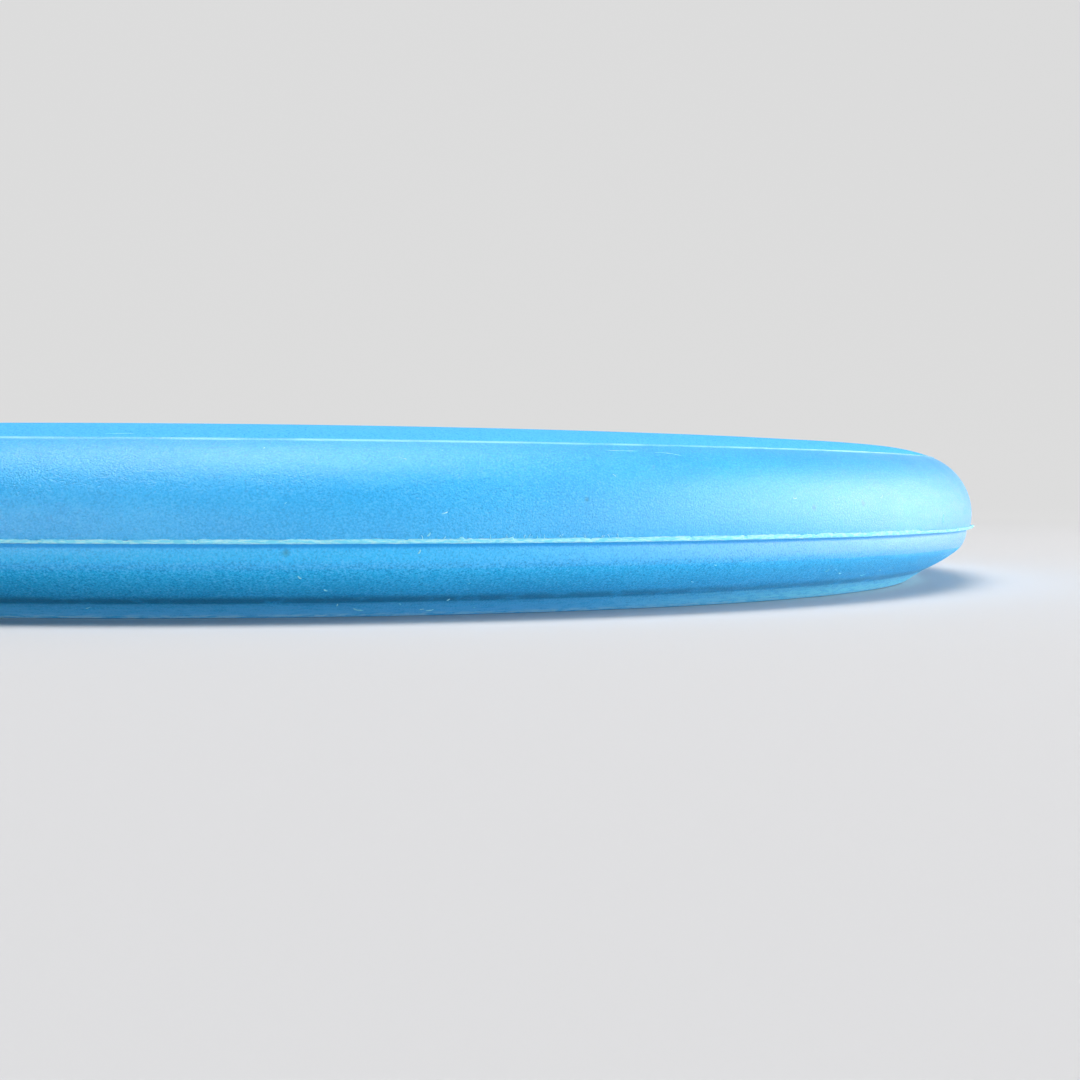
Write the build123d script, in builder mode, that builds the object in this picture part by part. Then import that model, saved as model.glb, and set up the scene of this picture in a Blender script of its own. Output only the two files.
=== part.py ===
from build123d import *

import os
from math import asin, cos, degrees, radians, sin, sqrt, tan

# Putt-and-approach golf disc: a one-shot plastic moulding with two hot-stamped foil rings.
#
# The moulding is a body of revolution about Z that stands on its bead at Z = 0. From the
# crown outwards and down, the outside of its section is a shallow dome, the falling edge of
# the flight plate, a shoulder, a blunt round nose, the parting line with its step and flash,
# an undercut wall, a crease and the bead. Inside, a wall with a little draft rises from the
# bead to the domed ceiling of the hollow that the fingers hold.
#
# Sizes are in millimetres and angles in degrees. A slope is measured from the horizontal.

# Outside of the moulding, above the parting plane
disc_diameter = 212.0  # over the flash
flash_reach = 0.25  # the flash stands this far out of the nose
nose_radius = 8.28
nose_lift = 1.64  # height of the nose arc's centre above the parting plane
witness_angle = 67.5  # the nose arc ends this far above its centre, at the witness line
shoulder_radius = 19.0
shoulder_slope = 3.9  # where the shoulder runs into the plate's edge
plate_edge_radius = 444.0
dome_slope = 0.8  # where the plate's edge runs into the dome

# Outside of the moulding, below the parting plane
parting_step = 0.48  # the lower half of the mould is this much smaller in radius
parting_land = 0.54  # straight stretch of wall under the step
heel_radius = 3.55
heel_angle = 51.7  # turned through by the heel arc
undercut_radius = 18.7
undercut_angle = 14.8  # turned through by the undercut arc
crease_angle = 11.0  # the bead stands this much steeper than the wall that it meets
bead_height = 1.67  # from the standing face up to the crease
bead_edge_radius = 1.0  # between the bead's flank and the standing face

# Inside of the moulding
standing_width = 0.5  # flat ring on the bead that the disc stands on
bead_chamfer = 1.2  # between the standing face and the wall of the hollow
wall_draft = 2.0
hollow_fillet = 3.5
plate_thickness = 2.0  # at the crown
plate_edge_thickness = 2.3  # where the shoulder ends

# Marks that the mould leaves
flash_root = 0.34  # thickness of the flash where it leaves the wall
flash_tip = 0.16
ridge_height = 0.10  # of the lines that the edges of the mould's inserts leave
ridge_root = 0.05  # the ridges reach this far into the moulding
core_line_inset = 9.0  # from the wall of the hollow to the line of the core's insert
gate_well_radius = 4.5
gate_well_depth = 0.5
gate_nub_radius = 1.2
gate_nub_height = 0.35

# Hot stamp: each foil ring lies at the bottom of the impression that the hot die leaves
stamp_depth = 0.10
foil_thickness = 0.05
foil_rings = {  # name of the ring: its inner radius and the width of its band
    "foil_outer_ring": (52.0, 2.4),
    "foil_inner_ring": (33.0, 1.2),
}

# Features that fuse with the moulding, or cut it, reach this far past its surface
overreach = 0.2


def sin_deg(angle):
    """Sine of an angle in degrees."""
    return sin(radians(angle))


def cos_deg(angle):
    """Cosine of an angle in degrees."""
    return cos(radians(angle))


def tan_deg(angle):
    """Tangent of an angle in degrees."""
    return tan(radians(angle))


# Below the parting plane, each slope follows from what the arcs above it turn through
heel_end_slope = 90 - heel_angle
undercut_end_slope = heel_end_slope - undercut_angle
bead_slope = undercut_end_slope + crease_angle
bead_run = bead_height / tan_deg(bead_slope)
bead_edge_run = bead_edge_radius * tan_deg(bead_slope / 2)

# The standing face is at Z = 0, so these drops put the parting plane at its height
heel_drop = heel_radius * sin_deg(heel_angle)
undercut_drop = undercut_radius * (cos_deg(undercut_end_slope) - cos_deg(heel_end_slope))
parting_height = parting_land + heel_drop + undercut_drop + bead_height

nose_foot_radius = disc_diameter / 2 - flash_reach
nose_foot_angle = degrees(asin(nose_lift / nose_radius))
lower_wall_radius = nose_foot_radius - parting_step


def arc_point(arc, radius, depth=0.0):
    """Point this deep under an arc of the section's upper side, at this radius from the axis."""
    centre = arc.arc_center
    height = centre.Y + sqrt((arc.radius - depth) ** 2 - (radius - centre.X) ** 2)
    return (radius, height)


def stamp_band(inner_radius, band_width, top_depth, bottom_depth):
    """Outline of a band that follows the flight plate's top between two depths under it."""
    corners = []
    for radius in (inner_radius, inner_radius + band_width):
        arc = dome if radius < (dome @ 0).X else plate_edge
        corners.append((arc_point(arc, radius, bottom_depth), arc_point(arc, radius, top_depth)))
    (inner_bottom, inner_top), (outer_bottom, outer_top) = corners
    return Polyline(inner_bottom, outer_bottom, outer_top, inner_top, close=True)


# The moulding: one section, with every detail in it, is turned about the axis
with BuildPart() as disc_body:
    with BuildSketch(Plane.XZ) as section:
        with BuildLine():
            # Outside, from the parting plane up to the crown, each arc tangent to the last
            nose = JernArc(
                start=(nose_foot_radius, parting_height),
                tangent=(sin_deg(nose_foot_angle), cos_deg(nose_foot_angle)),
                radius=nose_radius,
                arc_size=nose_foot_angle + witness_angle,
            )
            shoulder = JernArc(
                start=nose @ 1,
                tangent=nose % 1,
                radius=shoulder_radius,
                arc_size=90 - witness_angle - shoulder_slope,
            )
            plate_edge = JernArc(
                start=shoulder @ 1,
                tangent=shoulder % 1,
                radius=plate_edge_radius,
                arc_size=shoulder_slope - dome_slope,
            )
            dome = JernArc(
                start=plate_edge @ 1,
                tangent=plate_edge % 1,
                radius=(plate_edge @ 1).X / sin_deg(dome_slope),  # level on the axis
                arc_size=dome_slope,
            )
            # Outside, from the parting plane down to the standing face
            step = Line(nose @ 0, (lower_wall_radius, parting_height))
            land = Line(step @ 1, (lower_wall_radius, parting_height - parting_land))
            heel = JernArc(land @ 1, land % 1, heel_radius, -heel_angle)
            undercut = JernArc(heel @ 1, heel % 1, undercut_radius, -undercut_angle)
            bead_edge = undercut @ 1 - Vector(bead_run, bead_height)
            Line(undercut @ 1, bead_edge)
            # Inside, from the standing face up the wall and across the ceiling to the axis
            bead_corner = bead_edge - Vector(bead_edge_run + standing_width + bead_chamfer, 0)
            Line(bead_edge, bead_corner)
            ceiling_edge_height = (shoulder @ 1).Y - plate_edge_thickness
            wall = PolarLine(
                start=bead_corner,
                length=ceiling_edge_height,
                angle=90 + wall_draft,
                length_mode=LengthMode.VERTICAL,
            )
            ceiling_centre = dome @ 1 - Vector(0, plate_thickness)
            ceiling = TangentArc(ceiling_centre, wall @ 1, tangent=(1, 0))
            Line(ceiling_centre, dome @ 1)
        make_face()
        fillet(section.vertices().sort_by_distance(bead_edge)[0], radius=bead_edge_radius)
        chamfer(section.vertices().sort_by_distance(bead_corner)[0], length=bead_chamfer)
        fillet(section.vertices().sort_by_distance(wall @ 1)[0], radius=hollow_fillet)

        # Flash: the thin fin that squeezes out between the halves of the mould
        flash_root_radius = lower_wall_radius - overreach
        with BuildLine():
            Polyline(
                (flash_root_radius, parting_height + flash_root / 2),
                (flash_root_radius, parting_height - flash_root / 2),
                (disc_diameter / 2, parting_height - flash_tip / 2),
                (disc_diameter / 2, parting_height + flash_tip / 2),
                close=True,
            )
        make_face()

        # Fine ridges where the inserts of the mould meet it, on the nose and on the ceiling
        core_line_radius = (wall @ 1).X - core_line_inset
        with Locations(arc_point(nose, (nose @ 1).X, ridge_root)):
            RegularPolygon(ridge_root + ridge_height, side_count=4, rotation=witness_angle)
        with Locations(arc_point(ceiling, core_line_radius, -ridge_root)):
            RegularPolygon(ridge_root + ridge_height, side_count=4)

        # Gate: a shallow well in the middle of the ceiling, with the stub of the sprue in it
        with Locations(ceiling_centre + Vector(0, gate_well_depth)):
            Rectangle(
                gate_well_radius,
                gate_well_depth + overreach,
                align=(Align.MIN, Align.MAX),
                mode=Mode.SUBTRACT,
            )
            Rectangle(gate_nub_radius, gate_nub_height, align=(Align.MIN, Align.MAX))

        # Impressions of the hot die, one under each foil ring
        for inner_radius, band_width in foil_rings.values():
            with BuildLine():
                stamp_band(inner_radius, band_width, -overreach, stamp_depth)
            make_face(mode=Mode.SUBTRACT)
    revolve(axis=Axis.Z)

disc_body.part.label = "disc_body"
os.makedirs("parts", exist_ok=True)
export_step(disc_body.part, "parts/disc_body.step")

# The foil rings, each on the bottom of its impression
for name, (inner_radius, band_width) in foil_rings.items():
    with BuildPart() as foil_ring:
        with BuildSketch(Plane.XZ):
            with BuildLine():
                stamp_band(inner_radius, band_width, stamp_depth - foil_thickness, stamp_depth)
            make_face()
        revolve(axis=Axis.Z)
    foil_ring.part.label = name
    export_step(foil_ring.part, f"parts/{name}.step")
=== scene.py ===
import random
from collections import namedtuple
from math import acos, asin, cos, hypot, pi, radians, sin, sqrt, tan, tau

import bpy
from mathutils import Matrix, Vector, noise


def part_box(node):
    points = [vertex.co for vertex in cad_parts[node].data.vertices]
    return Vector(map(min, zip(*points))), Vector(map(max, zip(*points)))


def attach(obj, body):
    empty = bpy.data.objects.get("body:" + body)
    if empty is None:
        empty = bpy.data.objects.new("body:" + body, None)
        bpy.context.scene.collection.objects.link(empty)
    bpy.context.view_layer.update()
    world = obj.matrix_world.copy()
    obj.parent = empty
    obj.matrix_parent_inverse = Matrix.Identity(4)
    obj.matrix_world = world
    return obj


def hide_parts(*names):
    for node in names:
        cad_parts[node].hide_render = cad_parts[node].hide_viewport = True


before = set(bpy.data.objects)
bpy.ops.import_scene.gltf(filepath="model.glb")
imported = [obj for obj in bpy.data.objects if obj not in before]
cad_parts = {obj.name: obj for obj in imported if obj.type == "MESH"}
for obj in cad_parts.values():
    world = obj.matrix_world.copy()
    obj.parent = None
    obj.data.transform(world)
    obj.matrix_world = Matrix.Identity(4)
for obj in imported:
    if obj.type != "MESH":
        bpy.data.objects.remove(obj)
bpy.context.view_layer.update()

# Flying disc: the looks of a one-shot putt-and-approach disc and its two foil rings.
#
# The disc's axis is Z and it stands on its bead at Z = 0. Azimuths are measured from -Y, the
# side that the camera stands on, towards +X. A section's points are (radius, height).

BODY = "root"
MM = 0.001
disc_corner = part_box("disc_body")[1]
DISC_RADIUS = disc_corner.x
CROWN_HEIGHT = disc_corner.z
FOIL_WIDTHS = {"foil_outer_ring": 2.4 * MM, "foil_inner_ring": 1.2 * MM}

# ------------------------------------------------------------------ the moulding's section
# The arcs of the CAD section, so that the finer skin lies on the solid
FLASH_REACH = 0.25 * MM
NOSE_RADIUS = 8.28 * MM
NOSE_LIFT = 1.64 * MM
WITNESS_ANGLE = radians(67.5)
SHOULDER_RADIUS = 19.0 * MM
SHOULDER_SLOPE = radians(3.9)
PLATE_EDGE_RADIUS = 444.0 * MM
DOME_SLOPE = radians(0.8)
PARTING_STEP = 0.48 * MM
PARTING_LAND = 0.54 * MM
HEEL_RADIUS = 3.55 * MM
HEEL_ANGLE = radians(51.7)
HEEL_STEPS = 9
UNDERCUT_RADIUS = 18.7 * MM
UNDERCUT_ANGLE = radians(14.8)
CREASE_ANGLE = radians(11.0)
BEAD_HEIGHT = 1.67 * MM
BEAD_EDGE_RADIUS = 1.0 * MM
STANDING_WIDTH = 0.5 * MM
BEAD_CHAMFER = 1.2 * MM
WALL_DRAFT = radians(2.0)
HOLLOW_FILLET = 3.5 * MM
PLATE_THICKNESS = 2.0 * MM
PLATE_EDGE_THICKNESS = 2.3 * MM
STAMP_DEPTH = 0.10 * MM
STAMP_LIP = 0.03 * MM  # the edges of the impressions lean by this much each way
RIDGE_HEIGHT = 0.09 * MM
RIDGE_HALF_WIDTH = 0.11 * MM
RIDGE_STEPS = (-1.0, -0.6, -0.25, 0.0, 0.25, 0.6, 1.0)  # across the ridge, in half widths
CORE_LINE_INSET = 9.0 * MM
GATE_WELL_RADIUS = 4.5 * MM
GATE_WELL_DEPTH = 0.5 * MM
GATE_NUB_RADIUS = 1.2 * MM
GATE_NUB_HEIGHT = 0.35 * MM

UNDERCUT_END = pi / 2 - HEEL_ANGLE - UNDERCUT_ANGLE
BEAD_SLOPE = UNDERCUT_END + CREASE_ANGLE
BEAD_EDGE_RUN = BEAD_EDGE_RADIUS * tan(BEAD_SLOPE / 2)
PARTING_HEIGHT = (
    PARTING_LAND
    + HEEL_RADIUS * sin(HEEL_ANGLE)
    + UNDERCUT_RADIUS * (cos(UNDERCUT_END) - sin(HEEL_ANGLE))
    + BEAD_HEIGHT
)
NOSE_FOOT = DISC_RADIUS - FLASH_REACH
NOSE_FOOT_ANGLE = asin(NOSE_LIFT / NOSE_RADIUS)
WITNESS_HEIGHT = PARTING_HEIGHT + NOSE_LIFT + NOSE_RADIUS * sin(WITNESS_ANGLE)
LOWER_WALL = NOSE_FOOT - PARTING_STEP
HOLLOW_RADIUS = 96.4 * MM  # the rim's outside is further out than this, and the hollow isn't


class Walk:
    """Points of a section, left behind by walking along arcs and lines."""

    def __init__(self, radius, height, heading):
        self.at = Vector((radius, height))
        self.heading = heading
        self.points = [self.at.copy()]

    def arc(self, radius, turn, steps):
        """Turns this far, to the left where turn is positive, round an arc of this radius."""
        side = radius if turn > 0 else -radius
        centre = self.at + Vector((-sin(self.heading), cos(self.heading))) * side
        for step in range(1, steps + 1):
            bearing = self.heading + turn * step / steps
            self.points.append(centre - Vector((-sin(bearing), cos(bearing))) * side)
        self.heading += turn
        self.at = self.points[-1].copy()
        return self

    def line(self, length, steps=1):
        """Goes straight on."""
        start = self.at.copy()
        ahead = Vector((cos(self.heading), sin(self.heading))) * length
        for step in range(1, steps + 1):
            self.points.append(start + ahead * step / steps)
        self.at = self.points[-1].copy()
        return self


def softened(points, corners):
    """The section with each of these corners, {index: radius}, rounded by a short arc."""
    made = []
    for i, point in enumerate(points):
        if i not in corners:
            made.append(point)
            continue
        before, after = points[i - 1] - point, points[i + 1] - point
        reach = min(corners[i], before.length / 2, after.length / 2)
        start = point + before.normalized() * reach
        end = point + after.normalized() * reach
        for t in (0.0, 0.25, 0.5, 0.75, 1.0):
            made.append(start * (1 - t) ** 2 + point * 2 * t * (1 - t) + end * t ** 2)
    return made


def with_ridge(points, at):
    """The section with a low rounded ridge set into it at the point of this index."""
    ahead = (points[at + 1] - points[at - 1]).normalized()
    outward = Vector((ahead.y, -ahead.x))
    bump = []
    for t in RIDGE_STEPS:
        rise = RIDGE_HEIGHT * (0.5 + 0.5 * cos(pi * t))
        bump.append(points[at] + ahead * RIDGE_HALF_WIDTH * t + outward * rise)
    return points[:at] + bump + points[at + 1:]


def height_at(points, radius):
    """Height of the section's upper side at this radius; its points run towards the axis."""
    for outer, inner in zip(points, points[1:]):
        if inner.x <= radius <= outer.x:
            share = (outer.x - radius) / (outer.x - inner.x)
            return outer.y + (inner.y - outer.y) * share
    return points[-1].y


def stamped(points, inner, outer):
    """The upper side with the impression of a foil ring pressed into it."""
    inner_top, outer_top = height_at(points, inner), height_at(points, outer)
    part_way = 0.35 * STAMP_DEPTH
    band = [
        Vector((outer + STAMP_LIP, outer_top)),
        Vector((outer, outer_top - part_way)),
        Vector((outer - STAMP_LIP, outer_top - STAMP_DEPTH)),
        Vector((inner + STAMP_LIP, inner_top - STAMP_DEPTH)),
        Vector((inner, inner_top - part_way)),
        Vector((inner - STAMP_LIP, inner_top)),
    ]
    outside = [p for p in points if p.x > outer + 2 * STAMP_LIP]
    inside = [p for p in points if p.x < inner - 2 * STAMP_LIP]
    return outside + band + inside


def disc_section():
    """The moulding's section, from the top's middle, round the rim, to the hollow's middle."""
    upper = Walk(NOSE_FOOT, PARTING_HEIGHT, pi / 2 - NOSE_FOOT_ANGLE)
    upper.arc(NOSE_RADIUS, NOSE_FOOT_ANGLE + WITNESS_ANGLE, steps=34)
    witness = len(upper.points) - 1
    upper.arc(SHOULDER_RADIUS, pi / 2 - WITNESS_ANGLE - SHOULDER_SLOPE, steps=9)
    plate_edge_height = upper.at.y
    upper.arc(PLATE_EDGE_RADIUS, SHOULDER_SLOPE - DOME_SLOPE, steps=4)
    upper.arc(upper.at.x / sin(DOME_SLOPE), DOME_SLOPE, steps=10)
    top = with_ridge(upper.points, witness)
    for ring, width in FOIL_WIDTHS.items():
        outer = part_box(ring)[1].x
        top = stamped(top, outer - width, outer)

    lower = Walk(LOWER_WALL, PARTING_HEIGHT, -pi / 2)
    lower.line(PARTING_LAND, steps=2)
    lower.arc(HEEL_RADIUS, -HEEL_ANGLE, HEEL_STEPS)
    lower.arc(UNDERCUT_RADIUS, -UNDERCUT_ANGLE, steps=7)
    crease = len(lower.points) - 1
    lower.heading += CREASE_ANGLE
    lower.line(BEAD_HEIGHT / sin(BEAD_SLOPE) - BEAD_EDGE_RUN, steps=4)
    lower.arc(BEAD_EDGE_RADIUS, -BEAD_SLOPE, steps=7)
    lower.line(STANDING_WIDTH)

    foot = lower.at - Vector((BEAD_CHAMFER, 0))
    up_wall = Vector((-sin(WALL_DRAFT), cos(WALL_DRAFT)))
    wall_top = foot + up_wall * ((plate_edge_height - PLATE_EDGE_THICKNESS) / up_wall.y)
    middle = Vector((0, CROWN_HEIGHT - PLATE_THICKNESS))
    drop = middle.y - wall_top.y
    ceiling_radius = (wall_top.x ** 2 + drop ** 2) / (2 * drop)
    ceiling_centre = middle - Vector((0, ceiling_radius))
    # The fillet's centre is its radius away from the wall and from the ceiling
    inward = Vector((-up_wall.y, up_wall.x))
    start = foot + inward * HOLLOW_FILLET - ceiling_centre
    along = start.dot(up_wall)
    to_ceiling = ceiling_radius - HOLLOW_FILLET
    reach = -along + sqrt(along ** 2 - start.length_squared + to_ceiling ** 2)
    fillet_centre = foot + inward * HOLLOW_FILLET + up_wall * reach
    fillet_turn = acos(-inward.dot((fillet_centre - ceiling_centre).normalized()))
    wall_end = fillet_centre - inward * HOLLOW_FILLET

    inside = Walk(foot.x, foot.y, pi / 2 + WALL_DRAFT)
    inside.line(BEAD_CHAMFER)
    inside.line((wall_end - inside.at).length, steps=5)
    inside.arc(HOLLOW_FILLET, fillet_turn, steps=10)
    ceiling_angle = asin(inside.at.x / ceiling_radius)
    core_line_angle = asin((wall_top.x - CORE_LINE_INSET) / ceiling_radius)
    well_angle = asin(GATE_WELL_RADIUS / ceiling_radius)
    inside.arc(ceiling_radius, ceiling_angle - core_line_angle, steps=3)
    core_line = len(inside.points) - 1
    inside.arc(ceiling_radius, core_line_angle - well_angle, steps=12)
    hollow = with_ridge(inside.points, core_line)[1:]
    well_floor = middle.y + GATE_WELL_DEPTH
    gate = [
        Vector((GATE_WELL_RADIUS, well_floor)),
        Vector((GATE_NUB_RADIUS, well_floor)),
        Vector((GATE_NUB_RADIUS, well_floor - GATE_NUB_HEIGHT)),
        Vector((0, well_floor - GATE_NUB_HEIGHT)),
    ]
    points = top[::-1] + lower.points + hollow + gate
    points[0].x = 0.0
    first, last = len(top), len(points) - 1
    standing = first + len(lower.points)
    corners = {
        first - 1: 0.06 * MM,  # the parting step
        first: 0.10 * MM,
        first + crease: 0.12 * MM,
        standing - 1: 0.4 * MM,  # the chamfer inside the bead
        standing: 0.4 * MM,
        last - 4: 0.15 * MM,  # the gate's well
        last - 3: 0.25 * MM,
        last - 2: 0.15 * MM,  # the stub of the sprue
        last - 1: 0.15 * MM,
    }
    return softened(points, corners)


# ------------------------------------------------------------------ meshes
def radial(turn):
    """The direction away from the axis at this azimuth."""
    return Vector((sin(turn), -cos(turn), 0))


def mesh_object(name, verts, faces):
    """A smooth mesh, in the scene."""
    mesh = bpy.data.meshes.new(name)
    mesh.from_pydata(verts, [], faces)
    mesh.validate()
    mesh.shade_smooth()
    made = bpy.data.objects.new(name, mesh)
    bpy.context.scene.collection.objects.link(made)
    return made


def closed_lathe(name, rows, segments):
    """A closed mesh about Z, where rows(turn) gives the section at an azimuth.

    A section that starts and ends on the axis gets a pole at each end. Any other closes on
    itself.
    """
    sections = [rows(tau * k / segments) for k in range(segments)]
    count = len(sections[0])
    poles = sections[0][0].x == 0 and sections[0][-1].x == 0
    ring = range(1, count - 1) if poles else range(count)
    verts, faces = [], []
    for k, section in enumerate(sections):
        across, toward = sin(tau * k / segments), -cos(tau * k / segments)
        verts += [(section[i].x * across, section[i].x * toward, section[i].y) for i in ring]
    width = len(ring)
    for k in range(segments):
        here, there = k * width, (k + 1) % segments * width
        for i in range(width - 1 if poles else width):
            j = (i + 1) % width
            faces.append((here + i, here + j, there + j, there + i))
    if poles:
        top, bottom = len(verts), len(verts) + 1
        verts += [(0, 0, sections[0][0].y), (0, 0, sections[0][-1].y)]
        for k in range(segments):
            here, there = k * width, (k + 1) % segments * width
            faces.append((top, here, there))
            faces.append((bottom, there + width - 1, here + width - 1))
    return mesh_object(name, verts, faces)


SKIN_SEGMENTS = 528
SKIN_WAVE_LENGTH = 9 * MM
SKIN_WAVE_HEIGHT = 0.012 * MM
STANDING_RISE = 0.02 * MM  # points lower than this stand on the floor
section = disc_section()


def skin_rows(turn):
    """The section at this azimuth, with the slight waviness that a moulding has."""
    made = []
    for point in section:
        if point.x == 0 or point.y < STANDING_RISE:
            made.append(point.copy())
            continue
        place = radial(turn) * point.x + Vector((0, 0, point.y))
        wave = noise.noise(place / SKIN_WAVE_LENGTH) * SKIN_WAVE_HEIGHT
        made.append(Vector((point.x + wave, min(point.y, CROWN_HEIGHT))))
    return made


disc_skin = closed_lathe("disc_skin", skin_rows, SKIN_SEGMENTS)

# ------------------------------------------------------------------ the flash
FLASH_SEGMENTS = 4320
FLASH_TOP = 0.21 * MM  # how far the fin rises above the parting plane
FLASH_BOTTOM = 0.18 * MM  # and how far it reaches below
SHORTEST_FLASH = 0.03 * MM
THICK_SIDE = radians(68)  # the mould's halves sit askew, and the flash is thickest here
CHIP_LEVEL = 0.42  # a chip is missing where the noise for chips is above this
CHIP_STEEPNESS = 6
SHRED_LEVEL = 0.45  # a shred curls up where the noise for shreds is above this
SHRED_CURL = 0.55 * MM
FUZZY_STRETCH = (radians(8), radians(19))  # here the fin tore in shreds
FUZZY_FADE = 0.03  # over this many radians at each end
CHIP_AT = radians(46)  # the fin is thin from a break here to past the hook
CHIP_EDGE = 0.004  # radians from the whole fin to the thin one
CHIP_FADE = 0.25  # radians from the thin fin back to the whole one, past the hook
HOOK_AT = radians(65.2)  # a shred that curls out of the rim
HOOK_HALF_WIDTH = radians(0.42)
HOOK_REACH = 0.55 * MM
HOOK_CURL = 0.22 * MM


def bumps(turn, seed, length):
    """Noise from -1 to 1 with bumps of this length, that goes round the rim with no seam."""
    return noise.noise(radial(turn) * DISC_RADIUS / length + Vector((0, 0, seed)))


def ramp(value, low, high):
    """0 below low, 1 above high and a straight line between."""
    return min(1.0, max(0.0, (value - low) / (high - low)))


def within(turn, start, end, rise, fall):
    """1 between two azimuths, rising from 0 after the first, falling to 0 before the second."""
    return ramp(turn, start, start + rise) * ramp(-turn, -end, fall - end)


def flash_rows(turn):
    """The fin's section at this azimuth: torn to a ragged edge, chipped and curled."""
    long_wave = bumps(turn, 3.1, 14 * MM)
    wave = bumps(turn, 7.7, 2.6 * MM)
    fine = bumps(turn, 11.9, 0.55 * MM)
    reach = FLASH_REACH * (0.58 + 0.30 * long_wave + 0.30 * wave + 0.22 * fine)
    chip = bumps(turn, 23.0, 1.1 * MM) + 0.45 * bumps(turn, 29.0, 6 * MM)
    if chip > CHIP_LEVEL:
        reach *= max(0.15, 1 - (chip - CHIP_LEVEL) * CHIP_STEEPNESS)

    fuzz = within(turn, *FUZZY_STRETCH, FUZZY_FADE, FUZZY_FADE)
    shred = bumps(turn, 37.0, 0.7 * MM) + 0.5 * bumps(turn, 41.0, 8 * MM) + 0.35 * fuzz
    curl = max(0.0, shred - SHRED_LEVEL) * SHRED_CURL
    reach = min(max(reach + 0.35 * curl, SHORTEST_FLASH), FLASH_REACH - 0.005 * MM)

    askew = 0.5 + 0.5 * cos(turn - THICK_SIDE)
    thick = 0.80 + 0.75 * askew ** 2
    top = FLASH_TOP * thick * (1 + 0.22 * wave + 0.16 * fine)
    bottom = FLASH_BOTTOM * thick * (1 + 0.10 * fine + 0.15 * long_wave)
    top *= 1 - 0.55 * within(turn, CHIP_AT, HOOK_AT + CHIP_FADE, CHIP_EDGE, CHIP_FADE)
    lift = 0.02 * MM * wave

    hook = max(0.0, 1 - abs(turn - HOOK_AT) / HOOK_HALF_WIDTH)
    reach += (HOOK_REACH - reach) * hook ** 0.7
    curl += HOOK_CURL * hook
    # From the root's upper side, over the torn edge, to the root's underside
    outline = (
        (-0.40 * MM, top),
        (-0.02 * MM, top + lift),
        (reach * 0.55, top * 0.8 + lift + curl * 0.5),
        (reach * 0.92, top * 0.4 + lift + curl),
        (reach, -0.1 * top + lift + curl * 0.7),
        (reach * 0.85, -0.55 * bottom + lift + 0.5 * curl * hook),
        (reach * 0.3, -0.9 * bottom + lift),
        (-0.52 * MM, -bottom),
        (-0.60 * MM, -0.2 * bottom),
    )
    return [Vector((NOSE_FOOT + x, PARTING_HEIGHT + z)) for x, z in outline]


parting_flash = closed_lathe("parting_flash", flash_rows, FLASH_SEGMENTS)

# ------------------------------------------------------------------ curls and burrs on the rim
CURL_STEPS = 7
# Across a curl: each point's side, in half widths, and its rise
CURL_SECTION = ((1, 0.0), (0.35, 1.0), (-0.35, 1.0), (-1, 0.0), (0, -0.8))
CURL_END_DEPTH = 0.02 * MM

# Azimuth and tilt in degrees, then height, length, width, rise and bend in millimetres
CURLS = (
    (36.7, 70, 3.5, 0.7, 0.12, 0.06, 0.15),
    (38.7, -20, 3.1, 0.9, 0.14, 0.06, 0.25),
    (42.5, 15, 2.6, 1.2, 0.16, 0.07, 0.30),
    (44.2, -30, 3.1, 0.8, 0.14, 0.06, 0.20),
    (5.5, -22, 0.8, 1.3, 0.13, 0.07, 0.18),
    (9.6, 15, 0.6, 0.9, 0.14, 0.07, 0.12),
    (4.3, 75, 1.3, 0.45, 0.13, 0.07, 0.05),
    (10.4, 60, 1.7, 0.50, 0.14, 0.07, 0.06),
    (11.0, 40, 3.4, 0.35, 0.12, 0.05, 0.04),
    (50.7, 84, 8.9, 1.5, 0.12, 0.05, 0.05),
    (20.4, 0, 16.12, 4.4, 0.10, 0.025, 0.05),
    (23.4, -9, 15.90, 3.6, 0.10, 0.025, -0.20),
    (2.1, -50, 4.2, 0.60, 0.15, 0.09, 0.06),
    (3.5, -35, 2.9, 0.50, 0.17, 0.09, 0.06),
    (8.0, 60, 6.5, 0.50, 0.16, 0.09, 0.06),
    (8.4, 50, 8.1, 0.50, 0.17, 0.09, 0.05),
    (-7.1, 2, 17.2, 3.2, 0.10, 0.02, 0.05),
)
STRAY_BURRS = 90
BURR_HEIGHTS = ((0.5, 1.5), (1.9, 6.4), (8.2, 16.0))  # on the bead, the undercut and the nose
WHISKERS = 26
WHISKER_WIDTH = 0.07 * MM
WHISKER_RISE = 0.05 * MM
FUZZY_SHARE = 0.7  # of the whiskers, on the fuzzy stretch


def rim_point(turn, height):
    """Point on the rim's outside, and the directions out of it, up along it and round it."""
    for lower, upper in zip(section[1:], section):
        if lower.x > HOLLOW_RADIUS and lower.y <= height < upper.y:
            share = (upper.y - height) / max(upper.y - lower.y, 1e-9)
            radius = upper.x + (lower.x - upper.x) * share
            down = (lower - upper).normalized()
            up = -(radial(turn) * down.x + Vector((0, 0, down.y)))
            around = Vector((cos(turn), sin(turn), 0))
            place = radial(turn) * radius + Vector((0, 0, height))
            return place, around.cross(up), up, around
    raise ValueError("no rim at this height")


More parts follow.
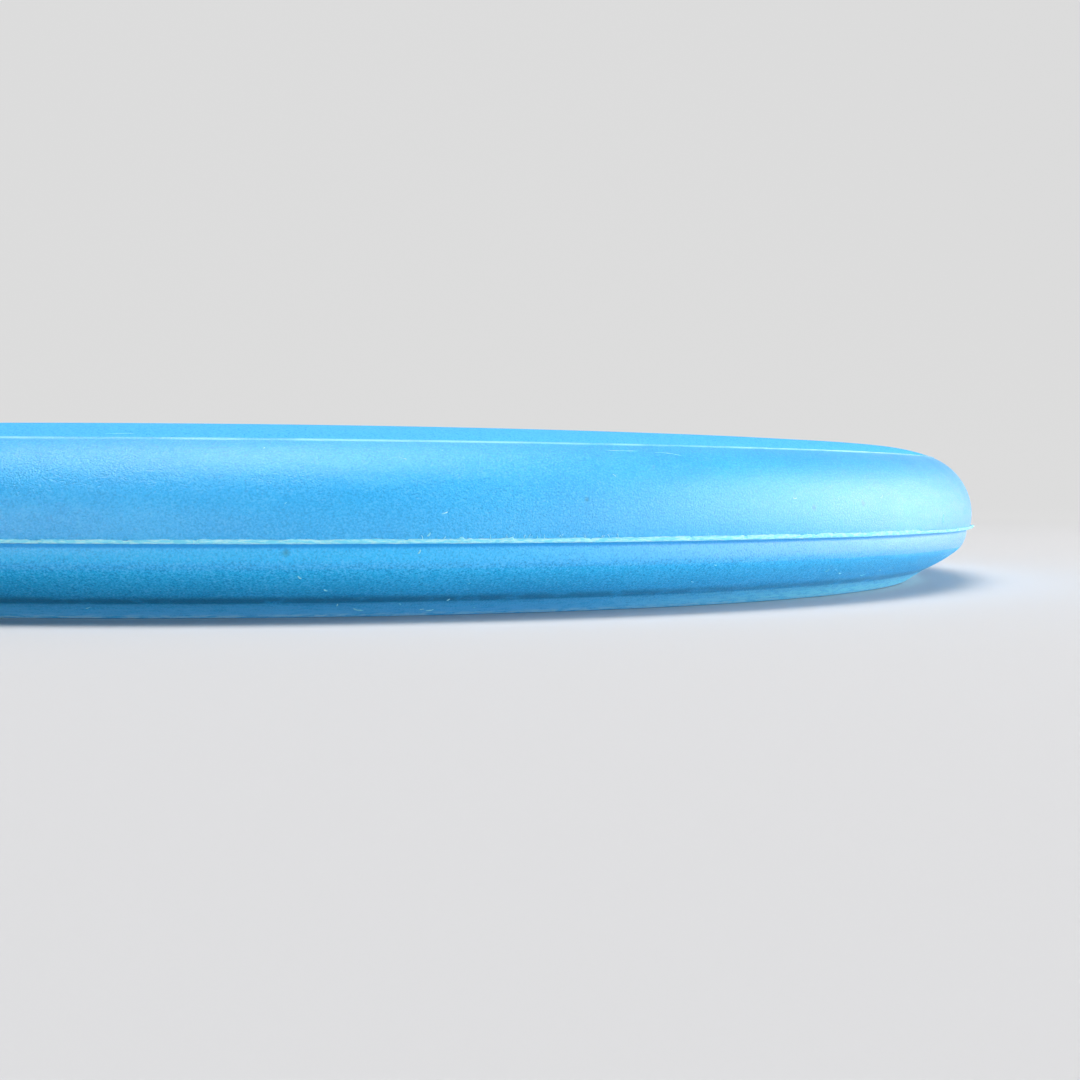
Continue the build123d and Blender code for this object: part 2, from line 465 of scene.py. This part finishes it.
def add_curl(verts, faces, turn, height, tilt, length, width, rise, bend):
    """Adds a thin closed curl of plastic that lies along the rim, sunk a little into it."""
    centre, outward, up, around = rim_point(turn, height)
    across = up * cos(tilt) - around * sin(tilt)
    ahead = around * cos(tilt) + up * sin(tilt)
    first, sides = len(verts), len(CURL_SECTION)
    for step in range(1, CURL_STEPS):
        t = 2 * step / CURL_STEPS - 1
        fat = sqrt(1 - t * t)
        along = length / 2 * t
        drop = along * along / (2 * DISC_RADIUS)  # the rim falls away from a straight line
        spine = centre + ahead * along + across * (bend * (t * t - 0.4)) - outward * drop
        for side, lift in CURL_SECTION:
            aside, above = side * width / 2 * fat, lift * rise * fat
            verts.append(spine + across * aside + outward * above)
    start = len(verts)
    last = start - sides
    for end in (-1, 1):
        tip = centre + ahead * (length / 2 * end) + across * (bend * 0.6)
        verts.append(tip - outward * CURL_END_DEPTH)
    for here in range(first, last, sides):
        there = here + sides
        for j in range(sides):
            k = (j + 1) % sides
            faces.append((here + j, here + k, there + k, there + j))
    for j in range(sides):
        k = (j + 1) % sides
        faces.append((start, first + k, first + j))
        faces.append((start + 1, last + j, last + k))


def rim_burrs():
    """Curls and specks on the rim: some in known places, the rest scattered."""
    verts, faces = [], []
    for azimuth, tilt, *sizes in CURLS:
        height, *shape = (size * MM for size in sizes)
        add_curl(verts, faces, radians(azimuth), height, radians(tilt), *shape)
    chance = random.Random(1963)
    for _ in range(STRAY_BURRS):
        turn = chance.uniform(0, tau)
        height = chance.choice([chance.uniform(*span) for span in BURR_HEIGHTS]) * MM
        tilt = radians(chance.gauss(0, 30))
        length = chance.uniform(0.25, 0.9) * MM
        width = chance.uniform(0.06, 0.13) * MM
        rise = chance.uniform(0.02, 0.05) * MM
        bend = chance.uniform(-0.1, 0.1) * MM
        add_curl(verts, faces, turn, height, tilt, length, width, rise, bend)
    for _ in range(WHISKERS):  # short hairs that the torn fin left standing
        fuzzy = chance.random() < FUZZY_SHARE
        turn = chance.uniform(*FUZZY_STRETCH) if fuzzy else chance.uniform(0, tau)
        height = PARTING_HEIGHT + chance.uniform(0.30, 0.42) * MM
        tilt = radians(chance.gauss(85, 22))
        length = chance.uniform(0.25, 0.65) * MM
        bend = chance.uniform(-0.12, 0.12) * MM
        add_curl(verts, faces, turn, height, tilt, length, WHISKER_WIDTH, WHISKER_RISE, bend)
    return mesh_object("rim_burrs", verts, faces)


burrs = rim_burrs()

# ------------------------------------------------------------------ foil
FOIL_SEGMENTS = 720
FOIL_COLUMNS = 7
FOIL_RISE = 0.035 * MM  # of its top above the bottom of the impression
FOIL_SINK = 0.01 * MM  # of its underside into the moulding
FOIL_EDGE = 0.05 * MM  # bare rim of the impression on each side
FOIL_EDGE_WAVE = 0.02 * MM
FOIL_RIPPLE = 0.006 * MM
FOIL_RIPPLE_LENGTH = 1.2 * MM
top_side = section[len(section) // 2::-1]


def foil_ring(ring, width):
    """A foil ring in its impression, a little wavy, with edges that aren't quite even."""
    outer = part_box(ring)[1].x
    inner = outer - width

    def rows(turn):
        start = inner + FOIL_EDGE + FOIL_EDGE_WAVE * bumps(turn, 59.0, 1.5 * MM)
        end = outer - FOIL_EDGE + FOIL_EDGE_WAVE * bumps(turn, 53.0, 1.5 * MM)
        upper, under = [], []
        for i in range(FOIL_COLUMNS):
            radius = start + (end - start) * i / (FOIL_COLUMNS - 1)
            ripple = FOIL_RIPPLE * noise.noise(radial(turn) * radius / FOIL_RIPPLE_LENGTH)
            bed = height_at(top_side, radius)
            upper.append(Vector((radius, bed + FOIL_RISE + ripple)))
            under.append(Vector((radius, bed - FOIL_SINK)))
        return upper + under[::-1]

    made = closed_lathe(ring + "_leaf", rows, FOIL_SEGMENTS)
    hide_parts(ring)
    return made


foil = [foil_ring(ring, width) for ring, width in FOIL_WIDTHS.items()]


# ------------------------------------------------------------------ materials
class Nodes:
    """A node tree, with short ways to add the nodes that a material is made of."""

    def __init__(self, tree):
        self.tree = tree
        tree.nodes.clear()

    def add(self, kind, inputs=(), **settings):
        """A node, with its sockets, by name or number, set to values or to other sockets."""
        made = self.tree.nodes.new("ShaderNode" + kind)
        for name, value in settings.items():
            setattr(made, name, value)
        for key, value in dict(inputs).items():
            if isinstance(value, bpy.types.NodeSocket):
                self.tree.links.new(value, made.inputs[key])
            else:
                made.inputs[key].default_value = value
        return made

    def calc(self, operation, *values):
        """The result of a Math node."""
        return self.add("Math", dict(enumerate(values)), operation=operation).outputs[0]

    def product(self, first, *others):
        """These values, multiplied."""
        for other in others:
            first = self.calc("MULTIPLY", first, other)
        return first

    def vector(self, operation, *values):
        """The vector that a Vector Math node gives."""
        inputs = dict(enumerate(values))
        return self.add("VectorMath", inputs, operation=operation).outputs["Vector"]

    def scaled(self, vector, scale):
        """A vector times a number."""
        inputs = {"Vector": vector, "Scale": scale}
        return self.add("VectorMath", inputs, operation="SCALE").outputs["Vector"]

    def length(self, vector):
        """A vector's length."""
        return self.add("VectorMath", {0: vector}, operation="LENGTH").outputs["Value"]

    def distance(self, point, other):
        """The distance between two points."""
        inputs = {0: point, 1: other}
        return self.add("VectorMath", inputs, operation="DISTANCE").outputs["Value"]

    def mapped(self, value, low, high, to_low=0.0, to_high=1.0):
        """A value moved from one range to another, smoothly and clamped."""
        inputs = {0: value, 1: low, 2: high, 3: to_low, 4: to_high}
        return self.add("MapRange", inputs, interpolation_type="SMOOTHSTEP").outputs[0]

    def near(self, value, centre, inner, outer):
        """1 within inner of the centre, fading to 0 at outer."""
        away = self.calc("ABSOLUTE", self.calc("SUBTRACT", value, centre))
        return self.mapped(away, inner, outer, 1.0, 0.0)

    def blended(self, factor, first, second):
        """Two colours mixed by a factor."""
        inputs = {0: factor, 6: first, 7: second}
        return self.add("Mix", inputs, data_type="RGBA").outputs[2]

    def noise(self, vector, size, detail=2.0, roughness=0.5):
        """Noise with bumps of this size."""
        inputs = {"Vector": vector, "Scale": 1 / size, "Detail": detail, "Roughness": roughness}
        return self.add("TexNoise", inputs).outputs[0]

    def bump(self, height, distance):
        """The normal that a height gives, where 1 stands this far out."""
        inputs = {"Strength": 1.0, "Distance": distance, "Height": height}
        return self.add("Bump", inputs).outputs[0]


def node_material(name):
    """An empty node material, and its nodes."""
    material = bpy.data.materials.new(name)
    material.use_nodes = True
    return material, Nodes(material.node_tree)


# A point on the disc: itself, its x and height, its distance from the axis, and 1 on the rim
Spot = namedtuple("Spot", "point x z radius on_rim")


def shaded_spot(nodes):
    """The point that is shaded."""
    point = nodes.add("TexCoord").outputs["Object"]
    x, _, z = nodes.add("SeparateXYZ", {0: point}).outputs
    radius = nodes.length(nodes.vector("MULTIPLY", point, (1, 1, 0)))
    return Spot(point, x, z, radius, nodes.mapped(radius, RIM_START, RIM_END))


def rim_noise(nodes, spot, along, across, detail=2.0, roughness=0.5, seed=0.0):
    """Noise with bumps this long round the rim and this wide over its section."""
    around = nodes.vector("NORMALIZE", nodes.vector("MULTIPLY", spot.point, (1, 1, 0)))
    around = nodes.scaled(around, DISC_RADIUS / along)
    height = nodes.vector("MULTIPLY", spot.point, (0, 0, 1 / across))
    inputs = {
        "Vector": nodes.vector("ADD", around, height),
        "W": nodes.calc("MULTIPLY_ADD", spot.radius, 1 / across, seed),
        "Scale": 1.0,
        "Detail": detail,
        "Roughness": roughness,
    }
    return nodes.add("TexNoise", inputs, noise_dimensions="4D").outputs[0]


HEEL_TOP = PARTING_HEIGHT - PARTING_LAND
HAZE_STEPS = 5.5  # the hazy band under the flash covers this many of the heel's steps
HAZE_FOOT = HEEL_TOP - HEEL_RADIUS * sin(HAZE_STEPS / HEEL_STEPS * HEEL_ANGLE)
HEEL_MIDDLE = 6.3 * MM
RIM_START, RIM_END = 93 * MM, 98 * MM  # the marks of the rim fade in between these radii
BEAD_FLANK_START, BEAD_FLANK_END = 97.2 * MM, 97.8 * MM  # and those of the bead's flank here
CLOUD_SIZE = 11 * MM
GRAIN_LENGTH, GRAIN_WIDTH = 0.21 * MM, 0.17 * MM
GRAIN_DEPTH = 0.08 * MM
PLATE_FOOT = WITNESS_HEIGHT + 0.12 * MM  # the plate's own material starts above the ridge

DEEP_BLUE = (0.010, 0.425, 0.900, 1)
PALE_BLUE = (0.018, 0.470, 0.950, 1)
LIGHT_GRAIN = (0.10, 0.58, 1.0, 1)
# The grain's dark specks, and also the painted shade under the flash
DARK_GRAIN_AND_SHADE = (0.004, 0.28, 0.66, 1)
# Painted shade in the crease over the bead
CREASE_SHADE = (0.003, 0.20, 0.40, 1)
# Painted highlight along the witness ridge
WITNESS_HIGHLIGHT = (0.33, 0.80, 0.97, 1)
# The bead's scuffs, painted paler as painted light too, palest on the right
WORN_AND_LIT_BLUE = (0.12, 0.57, 1.0, 1)
WORN_AND_LIT_PALE = (0.24, 0.78, 1.0, 1)
EDGE_WHITE = (0.32, 0.70, 1.0, 1)
# Painted light: the top painted lighter, with a painted sheen, as the overhead light would make
# it
TOP_LIT_BLUE = (0.105, 0.485, 0.885, 1)
# Painted light: the heel band's lighter blue, and a paler one on the right as a painted
# reflection of the side light
HEEL_LIT_BLUE = (0.008, 0.52, 1.0, 1)
HEEL_REFLECTION_PALE = (0.13, 0.50, 0.97, 1)
WALL_DEEP = (0.010, 0.45, 0.84, 1)
WALL_PALE = (0.020, 0.50, 0.92, 1)
STAIN_BLUE = (0.006, 0.24, 0.45, 1)
FLASH_BLUE = (0.18, 0.74, 1.0, 1)
FLASH_WHITE = (0.44, 0.88, 1.0, 1)
SHEEN_TINT = (0.85, 0.97, 1, 1)
FOIL_SILVER = (0.80, 0.82, 0.85, 1)
FOIL_SHADE = (0.70, 0.75, 0.82, 1)

# Azimuth in degrees, then height and size in millimetres
STAINS = ((17.0, 11.3, 0.30), (33.2, 10.5, 0.35), (38.3, 10.9, 0.42), (1.4, 6.5, 0.36))


def zone_colour(nodes, spot, top):
    """The plastic's blue, cloudy, and different on the nose, heel, lower wall and top, with
    painted light: the heel and the top are painted lighter, the heel palest on the right as a
    painted reflection of the side light.
    """
    mottle = nodes.mapped(nodes.noise(spot.point, CLOUD_SIZE, detail=3), 0.3, 0.7)
    colour = nodes.blended(mottle, DEEP_BLUE, PALE_BLUE)
    wall = nodes.blended(mottle, WALL_DEEP, WALL_PALE)
    under_haze = nodes.mapped(spot.z, HAZE_FOOT + 0.2 * MM, HAZE_FOOT - 0.5 * MM)
    colour = nodes.blended(under_haze, colour, wall)
    # Painted light: the band under the flash is painted lighter, palest on the right as a
    # painted reflection of the side light
    heel = nodes.near(spot.z, HEEL_MIDDLE, 0.5 * MM, 1.2 * MM)
    reflection_side = nodes.mapped(spot.x, 10 * MM, 65 * MM)
    heel_painted_light = nodes.blended(reflection_side, HEEL_LIT_BLUE, HEEL_REFLECTION_PALE)
    colour = nodes.blended(nodes.product(heel, spot.on_rim), colour, heel_painted_light)
    # Painted light: above the witness ridge the top is painted lighter, with a painted sheen
    if top:
        above = nodes.mapped(spot.z, WITNESS_HEIGHT - 0.1 * MM, WITNESS_HEIGHT + 0.2 * MM)
        colour = nodes.blended(above, colour, TOP_LIT_BLUE)
    return colour


def with_grain(nodes, spot, colour, grain, streak):
    """Faint streaks and the light and dark specks of the grain, strongest on the low wall."""
    streaks = nodes.product(nodes.mapped(streak, 0.45, 0.75), 0.10)
    colour = nodes.blended(streaks, colour, LIGHT_GRAIN)
    low_wall = nodes.product(nodes.mapped(spot.z, 6.2 * MM, 4.8 * MM), spot.on_rim)
    strong = nodes.calc("MULTIPLY_ADD", low_wall, 0.42, 0.48)
    lights = nodes.product(nodes.mapped(grain, 0.50, 0.64), strong)
    darks = nodes.product(nodes.mapped(grain, 0.50, 0.36), strong)
    colour = nodes.blended(lights, colour, LIGHT_GRAIN)
    return nodes.blended(darks, colour, DARK_GRAIN_AND_SHADE)


def with_painted_highlight_and_shade(nodes, spot, colour):
    """The witness ridge's painted highlight, the painted shade in the crease over the bead and
    the painted shade under the flash.
    """
    patches = rim_noise(nodes, spot, 7.0 * MM, 2.0 * MM, roughness=0.6, seed=11.0)
    # Painted highlight: the witness ridge is painted pale, fading towards the right
    witness = nodes.product(
        nodes.near(spot.z, WITNESS_HEIGHT, 0.05 * MM, 0.15 * MM),
        nodes.mapped(patches, 0.36, 0.60, 0.25, 1.0),
        spot.on_rim,
        nodes.mapped(spot.x, 64 * MM, 84 * MM, 1.0, 0.45),
        0.75,
    )
    colour = nodes.blended(witness, colour, WITNESS_HIGHLIGHT)
    # Painted shade: the crease over the bead is painted dark, broken, and weaker on the right
    breaks = rim_noise(nodes, spot, 3.0 * MM, 2.0 * MM, detail=3.0, roughness=0.6, seed=17.0)
    crease = nodes.product(
        nodes.near(spot.z, BEAD_HEIGHT + 0.12 * MM, 0.06 * MM, 0.75 * MM),
        nodes.mapped(breaks, 0.34, 0.50, 0.4, 0.85),
        nodes.mapped(spot.x, 5 * MM, 60 * MM, 1.0, 0.65),
        nodes.mapped(spot.radius, BEAD_FLANK_START, BEAD_FLANK_END),
    )
    colour = nodes.blended(crease, colour, CREASE_SHADE)
    # Painted shade: a dark band painted under the flash's step
    shade = nodes.near(spot.z, PARTING_HEIGHT - 0.25 * MM, 0.15 * MM, 0.48 * MM)
    return nodes.blended(nodes.product(shade, spot.on_rim, 0.75), colour, DARK_GRAIN_AND_SHADE)


def with_wear_and_painted_light(nodes, spot, colour):
    """The scuffed bead, its pale edge and the stains; and how worn the plastic is. The bead's
    scuffs are also painted paler as painted light, palest on the right.
    """
    scuff = rim_noise(nodes, spot, 1.6 * MM, 0.30 * MM, detail=4.0, roughness=0.65, seed=23.0)
    worn = nodes.product(
        nodes.mapped(spot.z, 1.60 * MM, 1.45 * MM),
        nodes.mapped(spot.z, 1.5 * MM, 0.5 * MM, 0.55, 1.0),
        nodes.mapped(scuff, 0.36, 0.56, 0.40, 1.0),
    )
    # Painted light: the scuffed bead is painted paler towards the right
    lit_side = nodes.mapped(spot.x, 20 * MM, 70 * MM)
    colour = nodes.blended(worn, colour, nodes.blended(lit_side, WORN_AND_LIT_BLUE, WORN_AND_LIT_PALE))
    edge = nodes.product(
        nodes.mapped(spot.z, 0.55 * MM, 0.20 * MM),
        nodes.mapped(scuff, 0.40, 0.62),
    )
    colour = nodes.blended(edge, colour, EDGE_WHITE)
    for azimuth, height, size in STAINS:
        place = rim_point(radians(azimuth), height * MM)[0]
        away = nodes.distance(spot.point, place)
        ragged = nodes.calc("MULTIPLY_ADD", scuff, 0.5 * size * MM, away)
        stain = nodes.mapped(ragged, 0.2 * size * MM, 1.7 * size * MM, 0.7, 0.0)
        colour = nodes.blended(stain, colour, STAIN_BLUE)
    return colour, worn


def plastic(name, coat, sheen, ior=1.5, gloss=0.5, coat_roughness=0.20, top=False, torn=False):
    """Satin base plastic: the moulding's skin or, where it tore, the flash and the burrs."""
    material, nodes = node_material(name)
    spot = shaded_spot(nodes)
    grain = rim_noise(nodes, spot, GRAIN_LENGTH, GRAIN_WIDTH, roughness=0.6)
    if torn:
        tears = rim_noise(nodes, spot, 0.9 * MM, 0.16 * MM, detail=3.0, roughness=0.65, seed=7.0)
        colour = nodes.blended(nodes.mapped(tears, 0.40, 0.62), FLASH_BLUE, FLASH_WHITE)
        rough = nodes.mapped(grain, 0.3, 0.7, 0.40, 0.55)
    else:
        streak = rim_noise(nodes, spot, 4.5 * MM, 1.1 * MM, detail=3.0, roughness=0.55, seed=3.0)
        colour = zone_colour(nodes, spot, top)
        colour = with_grain(nodes, spot, colour, grain, streak)
        colour = with_painted_highlight_and_shade(nodes, spot, colour)
        colour, worn = with_wear_and_painted_light(nodes, spot, colour)
        smooth = nodes.mapped(streak, 0.35, 0.65, 0.42, 0.50)
        rough = nodes.calc("ADD", smooth, nodes.product(worn, 0.10))
    fine = nodes.noise(spot.point, 0.14 * MM, detail=1, roughness=0.6)
    normal = nodes.bump(nodes.calc("MULTIPLY_ADD", fine, 0.5, grain), GRAIN_DEPTH)
    bsdf = nodes.add("BsdfPrincipled", {
        "Base Color": colour,
        "Roughness": rough,
        "IOR": ior,
        "Normal": normal,
        "Specular IOR Level": gloss,
        "Subsurface Weight": 0.15,
        "Subsurface Radius": (0.25, 0.8, 1.0),
        "Subsurface Scale": 0.6 * MM,
        "Sheen Weight": sheen,
        "Sheen Roughness": 0.35,
        "Sheen Tint": SHEEN_TINT,
        "Coat Weight": coat,
        "Coat Roughness": coat_roughness,
        "Coat IOR": 1.5,
        "Coat Normal": normal,
    })
    nodes.add("OutputMaterial", {"Surface": bsdf.outputs[0]})
    return material


def foil_metal(name):
    """Silver hot-stamp foil over plastic: bright, slightly wavy, with worn specks."""
    material, nodes = node_material(name)
    place = nodes.add("TexCoord").outputs["Object"]
    ripple = nodes.noise(place, 1.6 * MM)
    grain = nodes.noise(place, 0.30 * MM, detail=3, roughness=0.7)
    colour = nodes.blended(nodes.mapped(grain, 0.35, 0.7), FOIL_SILVER, FOIL_SHADE)
    bsdf = nodes.add("BsdfPrincipled", {
        "Base Color": nodes.blended(nodes.mapped(grain, 0.72, 0.76), colour, DEEP_BLUE),
        "Metallic": nodes.mapped(grain, 0.76, 0.72),
        "Roughness": nodes.mapped(ripple, 0.3, 0.7, 0.14, 0.24),
        "Normal": nodes.bump(ripple, 0.02 * MM),
    })
    nodes.add("OutputMaterial", {"Surface": bsdf.outputs[0]})
    return material


# The skin's gloss differs by zone, so it has a material for each
NOSE, HAZY_BAND, GRAINED, PLATE = range(4)
for skin_material in (
    plastic("satin_plastic", coat=0.6, sheen=0.03, top=True),
    plastic("hazy_plastic", coat=0.6, coat_roughness=0.26, sheen=0.28),
    plastic("grained_plastic", coat=0.08, sheen=0.02, ior=1.40),
    plastic("plate_plastic", coat=0.0, sheen=0.0, gloss=0.0, top=True),
):
    disc_skin.data.materials.append(skin_material)
for face in disc_skin.data.polygons:
    x, y, z = face.center
    if z > PLATE_FOOT and face.normal.z > 0:
        face.material_index = PLATE
    elif hypot(x, y) < HOLLOW_RADIUS:
        face.material_index = GRAINED
    elif z < PARTING_HEIGHT:
        face.material_index = HAZY_BAND if HAZE_FOOT < z < HEEL_TOP else GRAINED
    else:
        face.material_index = NOSE

torn_plastic = plastic("torn_plastic", coat=0.0, sheen=0.03, torn=True)
parting_flash.data.materials.append(torn_plastic)
burrs.data.materials.append(torn_plastic)
silver = foil_metal("stamp_silver")
for leaf in foil:
    leaf.data.materials.append(silver)

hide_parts("disc_body")
for piece in (disc_skin, parting_flash, burrs, *foil):
    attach(piece, BODY)

# ------------------------------------------------------------------ floor and backdrop
SWEEP_HALF_WIDTH = 5.0
SWEEP_NEAR_EDGE = -5.0
SWEEP_LEVEL_END = -0.3  # the smooth shading is level up to here, then tilts to the bend's
SWEEP_BEND_START = 0.8
SWEEP_BEND_RADIUS = 0.7
SWEEP_BEND_STEPS = 16
SWEEP_TOP = 2.6
PAPER_NEAR = (0.62, 0.62, 0.63, 1)
PAPER_FAR = (0.03, 0.03, 0.03, 1)
THROWN_LEFT = (0.44, 0.44, 0.45, 1)
THROWN_RIGHT = (0.90, 0.90, 0.90, 1)
FAR_START, FAR_END = 0.17, 0.60  # the near paper runs into the far paper between these radii
CARD_START, CARD_END = -0.06, 0.08  # and the left into the right between these x
PAPER_GLOW = 0.70  # of the far paper, as the camera sees it
PAPER_GLOW_MIRRORED = 0.11  # and as it looks in reflections


def ray_kinds(nodes):
    """1 for a ray from the camera, and 1 for a ray that a surface reflects or lets through."""
    rays = nodes.add("LightPath").outputs
    mirrored = nodes.calc("MAXIMUM", rays["Is Glossy Ray"], rays["Is Transmission Ray"])
    return rays["Is Camera Ray"], mirrored


def backdrop():
    """A floor that curves up into a backdrop."""
    bend, bend_start = SWEEP_BEND_RADIUS, SWEEP_BEND_START
    rows = [(SWEEP_NEAR_EDGE, 0.0), (SWEEP_LEVEL_END, 0.0), (bend_start, 0.0)]
    for step in range(1, SWEEP_BEND_STEPS + 1):
        angle = pi / 2 * step / SWEEP_BEND_STEPS
        rows.append((bend_start + bend * sin(angle), bend * (1 - cos(angle))))
    rows.append((bend_start + bend, SWEEP_TOP))
    verts = [(side * SWEEP_HALF_WIDTH, y, z) for y, z in rows for side in (-1, 1)]
    faces = [(2 * i, 2 * i + 1, 2 * i + 3, 2 * i + 2) for i in range(len(rows) - 1)]
    made = mesh_object("studio_sweep", verts, faces)

    material, nodes = node_material("studio_paper")
    camera_ray, mirrored = ray_kinds(nodes)
    place = nodes.add("TexCoord").outputs["Object"]
    # The lamps light the floor round the disc. Further out the paper keeps itself evenly pale
    far = nodes.mapped(nodes.length(place), FAR_START, FAR_END)
    shown = nodes.blended(far, PAPER_NEAR, PAPER_FAR)
    # The light that the floor throws up at the rim is stronger on the right, as from a card
    x = nodes.add("SeparateXYZ", {0: place}).outputs[0]
    thrown = nodes.blended(nodes.mapped(x, CARD_START, CARD_END), THROWN_LEFT, THROWN_RIGHT)
    camera_glow = nodes.product(camera_ray, PAPER_GLOW)
    glow = nodes.calc("MULTIPLY_ADD", mirrored, PAPER_GLOW_MIRRORED, camera_glow)
    # It throws light at the disc as a glossy table does, but the camera sees it matte, with no
    # bright patches from the lamps
    bsdf = nodes.add("BsdfPrincipled", {
        "Base Color": nodes.blended(camera_ray, thrown, shown),
        "Roughness": nodes.calc("MULTIPLY_ADD", camera_ray, 0.44, 0.16),
        "Specular IOR Level": nodes.calc("MULTIPLY_ADD", camera_ray, -0.50, 0.5),
        "Emission Color": (1, 1, 1, 1),
        "Emission Strength": nodes.product(far, glow),
    })
    nodes.add("OutputMaterial", {"Surface": bsdf.outputs[0]})
    made.data.materials.append(material)


backdrop()

# ------------------------------------------------------------------ light
LAMP_DISTANCE = 1.2
AIR_LIGHT = 0.02
AIR_GLOW = 0.68  # added to it, as the camera sees it
AIR_GLOW_MIRRORED = 0.12  # and in reflections


def softbox(name, azimuth, elevation, width, height, power):
    """A rectangular lamp that faces the disc's middle, its angles in degrees."""
    lamp = bpy.data.lights.new(name, "AREA")
    lamp.shape = "RECTANGLE"
    lamp.size, lamp.size_y = width, height
    lamp.energy = power
    made = bpy.data.objects.new(name, lamp)
    made.visible_camera = False
    toward = radial(radians(azimuth)) * cos(radians(elevation))
    toward.z = sin(radians(elevation))
    made.location = toward * LAMP_DISTANCE
    made.rotation_mode = "QUATERNION"
    made.rotation_quaternion = toward.to_track_quat("Z", "Y")
    bpy.context.scene.collection.objects.link(made)


def studio_air():
    """A faint even light, which looks pale to the camera and in reflections."""
    world = bpy.data.worlds.new("studio_air")
    bpy.context.scene.world = world
    world.use_nodes = True
    nodes = Nodes(world.node_tree)
    camera_ray, mirrored = ray_kinds(nodes)
    strength = nodes.calc("MULTIPLY_ADD", mirrored, AIR_GLOW_MIRRORED, AIR_LIGHT)
    strength = nodes.calc("MULTIPLY_ADD", camera_ray, AIR_GLOW, strength)
    glow = nodes.add("Background", {"Color": (0.97, 0.98, 1.0, 1), "Strength": strength})
    nodes.add("OutputWorld", {"Surface": glow.outputs[0]})


softbox("overhead_softbox", 0, 89, width=0.6, height=0.6, power=7.2)
softbox("overhead_left", -75, 72, width=0.7, height=0.5, power=4.4)
softbox("overhead_right", 75, 72, width=0.9, height=0.5, power=2.2)
softbox("side_softbox", 75, 25, width=0.62, height=0.40, power=5.3)
softbox("far_side_softbox", 105, 22, width=0.62, height=0.26, power=2.4)
softbox("low_panel_left", -30, 4, width=1.24, height=0.17, power=5.9)
softbox("low_panel_right", 60, 4, width=1.24, height=0.17, power=4.2)
softbox("low_panel_side", 105, 7, width=0.62, height=0.25, power=2.8)
studio_air()

# ------------------------------------------------------------------ camera
CAMERA_PLACE = Vector((0, -251.146, 12.31)) * MM
CAMERA_YAW, CAMERA_PITCH, CAMERA_ROLL = 0.174, 0.0317, 0.0048  # to the right, down and over
FOCAL_LENGTH_MM, SENSOR_MM = 53.766, 36.0
CLIP_START, CLIP_END = 0.01, 20


def point_camera():
    """The camera, which looks along the disc's rim from just above the floor."""
    lens = bpy.data.cameras.new("camera")
    lens.sensor_width = SENSOR_MM
    lens.lens = FOCAL_LENGTH_MM
    lens.clip_start, lens.clip_end = CLIP_START, CLIP_END
    camera = bpy.data.objects.new("camera", lens)
    level = Vector((sin(CAMERA_YAW), cos(CAMERA_YAW), 0))
    ahead = level * cos(CAMERA_PITCH) - Vector((0, 0, sin(CAMERA_PITCH)))
    right = Vector((cos(CAMERA_YAW), -sin(CAMERA_YAW), 0))
    up = right.cross(ahead)
    rolled_right = right * cos(CAMERA_ROLL) + up * sin(CAMERA_ROLL)
    rolled_up = up * cos(CAMERA_ROLL) - right * sin(CAMERA_ROLL)
    turned = Matrix((rolled_right, rolled_up, -ahead)).transposed().to_4x4()
    camera.matrix_world = Matrix.Translation(CAMERA_PLACE) @ turned
    bpy.context.scene.collection.objects.link(camera)
    bpy.context.scene.camera = camera


point_camera()
bpy.context.scene.view_settings.view_transform = "Standard"
